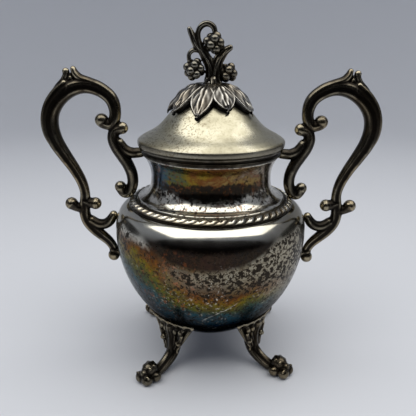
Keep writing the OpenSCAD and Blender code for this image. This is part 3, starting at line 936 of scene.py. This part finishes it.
def foot_shape():
    """The foot whose leg runs out along +X."""
    shape = empty_shape()
    tube(shape, in_plane(LEG, 5), 32, leg_section)
    ribs = 9
    rib_steps = 10
    crest_steps = 24
    for i in range(-ribs, ribs + 1):
        spread = i / ribs
        main = i % 3 == 0
        top = 29.6 + 1.0 * spread**2 - (0 if main else 0.9)
        thick = 1.25 if main else 0.85
        lift = 0.1 if main else -0.75
        path = []
        for k in range(rib_steps + 1):
            t = k / rib_steps
            z = RIB_FOOT + (top - RIB_FOOT) * t
            sway = 0.05 * math.sin(9 * t + 2 * i) if abs(spread) < 0.9 else 0.0
            path.append((*on_fan(spread + sway, z, lift - 1.2 * (1 - t) ** 2), thick * (0.5 + 0.55 * t)))
        tube(shape, path, 14)
        if main and 0 < abs(spread) < 1:
            ball(shape, on_fan(spread * 0.93, 24.5, 0.5), 1.5, (1, 1, 1.5), 14)
    crest = []
    for k in range(crest_steps + 1):
        spread = -1.0 + 2.0 * k / crest_steps
        z = 30.1 + 1.0 * spread**2
        crest.append((*on_fan(spread, z, 0.1 + 0.2 * math.cos(FULL_TURN * 3 * spread)), 0.7))
    tube(shape, crest, 12, side=(1, 0, 0))
    ball(shape, on_fan(0, 20.5, 0.6), 1.7, (0.8, 0.8, 2.0), 16)
    for side in (-1, 1):
        ball(shape, (34.4, side * 5.9, 17.4), 2.0, sides=18)
        ball(shape, (35.5, side * 6.3, 17.2), 1.1, sides=14)
        rim = [(34.6, side * 8.2, 22.6, 1.0), (34.2, side * 7.4, 20, 1.2), (34.4, side * 6.0, 17.6, 1.3)]
        tube(shape, spline(rim, 4), 12)
        ball(shape, (56.2, side * 2.3, 3.0), 3.3, sides=22)
        ball(shape, (50.8, side * 3.6, 3.2), 3.2, sides=22)
        coil_toe(shape, (57.2, side * 3.0, 4.2), 1.7, side)
    ball(shape, (51.8, 0, 6.9), 4.3, (1.1, 0.95, 0.95), 24)
    ball(shape, (55.6, 0, 5.6), 2.8, sides=18)
    for turn in range(0, 360, 60):
        a = math.radians(turn)
        spot = (52.3 + 2.7 * math.cos(a), 2.5 * math.sin(a), 8.9 - 0.7 * math.cos(a))
        ball(shape, spot, 1.3, sides=12)
    return shape


def coil_toe(shape, centre, radius, side):
    """A small shell-like curl on a toe."""
    x, y, z = centre
    path = [
        (x + 0.5 * t, y + side * (0.3 + u), z + v, 0.62 - 0.2 * t)
        for t, u, v in coil(0.6, 1.1, radius, 0.75, 12)
    ]
    tube(shape, path, 10, side=(1, 0, 0))


def make_feet():
    shape = foot_shape()
    for node, bearing in BEARINGS.items():
        turned = placed(shape, Matrix.Rotation(math.radians(bearing - 90), 3, "Z"))
        name = node.replace("foot", "paw")
        cast = {"voxel": 0.33, "soften": 2, "floor": 0.0, "rounds": 14}
        piece(name, turned, "bowl", "cast_silver", [node], CAST_FINISH, **cast)


# ---------------------------------------------------------------- lid

LID_CURVE = [
    (41.2, 130.4), (37.5, 132.7), (33.5, 134.8), (30.4, 136.8), (27.8, 139.2), (25.3, 142),
    (22.2, 145.5), (18, 149.2), (12.5, 152.7), (7, 155.1), (2.3, 155.5),
]
CUP_TOP = 160.6
LEAF_START = 253
LEAF_STEP = 0.13
# How far the tip of each leaf is raised, round the cup.
LEAF_LIFT = [-0.6, 4.2, 0, 2, 4, 0.5, 3, 0, 1.2]


def make_lid():
    """The domed lid: a rounded vertical edge, the long concave sweep, and the hollow under it."""
    seat = MOUTH_Z + 0.3
    top = spline(LID_CURVE, 8)
    under = [(r, z - 1.4) for r, z in reversed(top) if r < 39.3]
    outline = [(39.5, seat), (40.5, seat), (40.85, seat + 0.12), (41.05, seat + 0.45)]
    outline += [(41.2, seat + 1.4), (41.2, seat + 2.5), (41.1, seat + 2.85), (40.8, seat + 3.2)]
    outline += [(r, z) for r, z in top if r < 40.5] + under + [(39.5, seat + 2.0)]
    shape = empty_shape()
    lathe(shape, outline, 256)
    piece("lid_dome", shape, "lid", "lid_silver", ["lid_shell"], LID_FINISH)


def lid_height(r):
    """The lid's upper surface at a radius."""
    for (r0, z0), (r1, z1) in zip(LID_CURVE, LID_CURVE[1:]):
        if r1 <= r <= r0:
            return z0 + (z1 - z0) * (r0 - r) / (r0 - r1)
    return LID_CURVE[-1][1]


def leaf_rings(lift, seed):
    """One drooping leaf along +X: a veined plate with a bright edge, above a steep skirt that painted shade
    darkens near the lid.
    """
    drape = 0.6 * (2 - lift)
    line = spline(
        [
            (3.5, CUP_TOP - 0.2, 2.4), (9, CUP_TOP - 0.5, 4.6), (13.5, 158.2, 5.8),
            (17.8, 155.0, 6.2), (21.2 + 0.5 * drape, 150.2 + 0.3 * lift, 4.6),
            (22.9 + drape, 147.0 + 0.55 * lift, 1.5),
        ],
        9,
    )
    across = 30
    inner = 0.80
    rings = []
    for i, (r, z, half) in enumerate(line):
        nr, nz = normal_at(line, i)
        t = i / (len(line) - 1)
        tooth = 1 + 0.05 * math.sin(t * FULL_TURN * 3.2 + seed) * min(1, 3 * t)
        fade = min(1, 4 * t) * min(1, 5 * (1 - t) + 0.25)
        swing = 0.5 * math.sin(3.5 * t + 2.1 * seed)
        face = []
        back = []
        for k in range(across + 1):
            v = 2 * k / across - 1
            w = min(1.0, abs(v) / inner)
            side = math.copysign(w, v)
            skirt = max(0.0, (abs(v) - inner) / (1 - inner))
            along_rib = 1.5 * w - (3.4 + 0.3 * (seed % 3)) * t + 0.3 * swing
            ribs = 0.22 * math.cos(FULL_TURN * along_rib) * (1 - w**4)
            spread = abs(side - 0.12 * swing)
            vein = 0.42 * swelling(spread, 0.20, 0.12) - 0.30 * swelling(spread, 0.0, 0.08)
            edge = 0.60 * swelling(w, 0.93, 0.10)
            arch = -0.16 * half * side * side
            drop = 4.2 * skirt * min(1, 4 * t)
            up = arch + fade * (vein + ribs + edge) + 0.3 - drop
            width = half * tooth * (w + 0.10 * skirt)
            bend = math.copysign(width, v) / max(r, 8.0)
            for level, out in ((up, face), (arch - 1.0 - drop, back)):
                reach = r + nr * level * (1 - 0.6 * skirt)
                height = z + nz * level - 0.4 * skirt
                height = max(height, lid_height(reach) + 0.35)
                out.append((reach * math.cos(bend), reach * math.sin(bend), height))
        rings.append(face + back[::-1])
    tip = [(23.3 + drape, 145.4 + 0.55 * lift, 1.4), (23.6 + 1.1 * drape, 144.4 + 0.5 * lift, 1.0)]
    for r, z, half in tip:
        floor = max(z, lid_height(r) + half + 0.35)
        ring = []
        for k in range(2 * (across + 1)):
            turn = math.pi - FULL_TURN * (k + 0.5) / (2 * (across + 1))
            out = half * math.cos(turn)
            ring.append((r + 0.5 * out, -out, floor + half * math.sin(turn)))
        rings.append(ring)
    return rings


def make_leaves():
    shape = empty_shape()
    for i, lift in enumerate(LEAF_LIFT):
        leaf = empty_shape()
        rings = leaf_rings(lift, i)
        first = sum((Vector(p) for p in rings[0]), Vector()) / len(rings[0])
        last = sum((Vector(p) for p in rings[-1]), Vector()) / len(rings[-1])
        skin(leaf, rings, first, last)
        raised = Matrix.Translation((0, 0, LEAF_STEP * (i % 3)))
        bearing = math.radians(LEAF_START) + FULL_TURN * i / len(LEAF_LIFT)
        turned = placed(leaf, raised @ Matrix.Rotation(bearing, 4, "Z"))
        start = len(shape["points"])
        shape["points"].extend(turned["points"])
        shape["faces"].extend(tuple(n + start for n in f) for f in turned["faces"])
    tube(shape, [(0, 0, 156.6, 5.0), (0, 0, 158.4, 5.1), (0, 0, 159.6, 4.6)], 28)
    calyx = piece("calyx", shape, "lid", "leaf_silver", ["leaf_cup"], LEAF_FINISH, voxel=0.28, soften=1)
    # The height of each point above the lid, which the leaf finish uses to paint shade where the leaves come
    # down to the lid.
    painted_shade_clearance = calyx.data.attributes.new("painted_shade_clearance", "FLOAT", "POINT")
    hub = 8.0
    clear = 8.0
    for value, vertex in zip(painted_shade_clearance.data, calyx.data.vertices):
        r = math.hypot(vertex.co.x, vertex.co.y) / MM
        above = vertex.co.z / MM - lid_height(min(r, LID_CURVE[0][0]))
        value.value = min(1.0, max(0.0, above / clear)) if r > hub else 1.0


# ---------------------------------------------------------------- finial

STEM_LEFT = [
    (-0.2, 161.9, 3.6), (0, 165.5, 3.3), (-0.9, 170, 2.9), (-3.4, 174.6, 2.6), (-6, 179, 2.2),
    (-7.5, 183.5, 1.6), (-7.4, 187.4, 1.4), (-5.3, 190.4, 1.5), (-2.2, 191.2, 1.5),
    (0.6, 189.6, 1.4), (1.6, 186.6, 1.3),
]
STEM_RIGHT = [(1.6, 161.9, 3.6), (1.9, 167, 3.3), (3.3, 172.5, 2.9), (6.2, 176.7, 2.2), (9.7, 179.3, 1.5)]
STUB_LEFT = [(-4.8, 176.6, 2), (-8.3, 180.6, 2.1), (-10.3, 184.8, 1.8), (-12.1, 188.6, 1.2)]
TENDRIL_LEFT = [(-6.4, 177.6, 1.4), (-10, 177.8, 1.3), (-12.3, 175.6, 1.2), (-12.2, 172.4, 1.2)]
TRUNK_FOOT = [(0.7, 0, 160.2, 5.2), (0.7, 0, 161.4, 4.9), (0.7, 0, 163.4, 4.2), (0.8, 0, 167.0, 1.6)]
# Centre, radius and number of grapes of each bunch.
BUNCHES = [
    ((1.0, -1, 181.5), 3.8, 12),
    ((-9.5, -0.5, 167.9), 3.95, 13),
    ((8.8, 0.5, 166.3), 3.3, 10),
]
GRAPE_R = 2.35


def bark(turn, along):
    """A grooved vine stem, whose grooves wind slowly round it."""
    return 1 + 0.11 * math.cos(6 * turn + 7 * along) + 0.05 * math.cos(11 * turn - 9 * along)


def make_vine():
    """The finial: two stems and a stub with a tendril, and three bunches of grapes."""
    shape = empty_shape()
    for stroke in (STEM_LEFT, STEM_RIGHT, STUB_LEFT):
        tube(shape, in_plane(stroke, 6), 36, bark)
    tube(shape, in_plane(TENDRIL_LEFT, 6), 18)
    tube(shape, TRUNK_FOOT, 36, bark)
    for centre, radius, count in BUNCHES:
        ball(shape, centre, radius + 0.5, sides=20)
        for i in range(count):
            up = 1 - 2 * (i + 0.5) / count
            out = math.sqrt(1 - up * up)
            a = i * GOLDEN_ANGLE
            spot = (
                centre[0] + radius * out * math.cos(a),
                centre[1] + radius * out * math.sin(a),
                centre[2] + radius * up,
            )
            ball(shape, spot, GRAPE_R, sides=16)
    cast = {"voxel": 0.26, "soften": 1, "floor": CUP_TOP + 0.05}
    piece("vine", shape, "lid", "finial_silver", ["finial"], VINE_FINISH, **cast)


def colour_fixings():
    """The CAD's own pieces under the lid keep their shapes and get their metals."""
    metals = {"lid_bezel": LID_FINISH}
    metals.update((node, BRASS_FINISH) for node in ("finial_stud", "finial_washer", "finial_nut"))
    for node, metal in metals.items():
        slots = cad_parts[node].data.materials
        slots.clear()
        slots.append(metal)


# ---------------------------------------------------------------- stage, light and camera


def make_floor():
    """A plain pale floor that curves up into a low wall all round the bowl."""
    middle = 0.3
    flat = 0.85
    curve = 0.75
    curve_steps = 16
    wall_top = 1.5
    lowest = -0.0002
    outline = [(middle, lowest), (flat, lowest)]
    for i in range(1, curve_steps + 1):
        a = math.pi / 2 * i / curve_steps
        outline.append((flat + curve * math.sin(a), lowest + curve * (1 - math.cos(a))))
    outline.append((flat + curve, wall_top))
    shape = empty_shape()
    skin(shape, turned_rings(outline, 96), (0, 0, lowest))
    mesh = bpy.data.meshes.new("floor")
    mesh.from_pydata(shape["points"], [], shape["faces"])
    mesh.polygons.foreach_set("use_smooth", [True] * len(mesh.polygons))
    floor = linked("floor", mesh)
    paint = bpy.data.materials.new("pale_sheet")
    paint.use_nodes = True
    shader = next(n for n in paint.node_tree.nodes if n.type == "BSDF_PRINCIPLED")
    shader.inputs["Base Color"].default_value = (0.68, 0.70, 0.75, 1)
    shader.inputs["Roughness"].default_value = 0.6
    mesh.materials.append(paint)


def soft_box(name, place, target, size, power, tint=(1, 1, 1)):
    """A rectangular soft light that faces a point."""
    light = bpy.data.lights.new(name, "AREA")
    light.shape = "RECTANGLE"
    light.size = size[0]
    light.size_y = size[1]
    light.energy = power
    light.color = tint
    aim(linked(name, light), place, target)


def dark_card(name, place, target, size):
    """A black oval with a soft rim that only the metal sees, as the unlit side of a room."""
    width, height = size
    mesh = bpy.data.meshes.new(name)
    steps = 48
    turns = [FULL_TURN * k / steps for k in range(steps)]
    rim = [(width * math.cos(a), height * math.sin(a), 0) for a in turns]
    mesh.from_pydata(rim, [], [tuple(range(steps))])
    card = linked(name, mesh)
    aim(card, place, target)
    p = Paint(name)
    across = p.math("DIVIDE", p.axis(0), width)
    up = p.math("DIVIDE", p.axis(1), height)
    cover = p.span(p.length(across, up), 1.0, 0.62, 0.0, 0.97)
    p.shader.inputs["Metallic"].default_value = 0.0
    p.colour((0.02, 0.02, 0.022))
    p.rough(1.0)
    p.put(cover, p.shader.inputs["Alpha"])
    mesh.materials.append(p.material)
    card.visible_camera = False
    card.visible_shadow = False
    card.visible_diffuse = False


def make_light():
    world = bpy.data.worlds.new("studio")
    world.use_nodes = True
    back = world.node_tree.nodes["Background"]
    back.inputs["Color"].default_value = (0.66, 0.69, 0.75, 1)
    back.inputs["Strength"].default_value = 0.42
    bpy.context.scene.world = world
    middle = (0, 0, 0.09)
    soft_box("overhead", (0.02, -0.10, 0.80), middle, (1.7, 0.85), 9.0, (1.0, 0.98, 0.93))
    dark_card("card_front", (0.0, -0.42, 0.215), (0, 0, 0.215), (1.05, 0.24))
    dark_card("card_left", (-1.1, 0.35, 0.24), (0, 0, 0.12), (0.55, 0.25))
    dark_card("card_right", (1.1, 0.35, 0.24), (0, 0, 0.12), (0.55, 0.25))


def make_camera():
    lens = bpy.data.cameras.new("camera")
    lens.lens = 45
    lens.sensor_width = 36
    lens.shift_x = -0.00625
    eye = linked("camera", lens)
    eye.location = (0, -0.290, 0.183)
    tilt = Matrix.Rotation(math.radians(72.1), 3, "X") @ Matrix.Rotation(math.radians(0.55), 3, "Z")
    eye.rotation_euler = tilt.to_euler()
    bpy.context.scene.camera = eye


make_belly()
make_neck()
make_mouth()
make_band()
make_handles()
make_feet()
make_lid()
make_leaves()
make_vine()
colour_fixings()
make_floor()
make_light()
make_camera()
bpy.context.scene.view_settings.view_transform = "Standard"
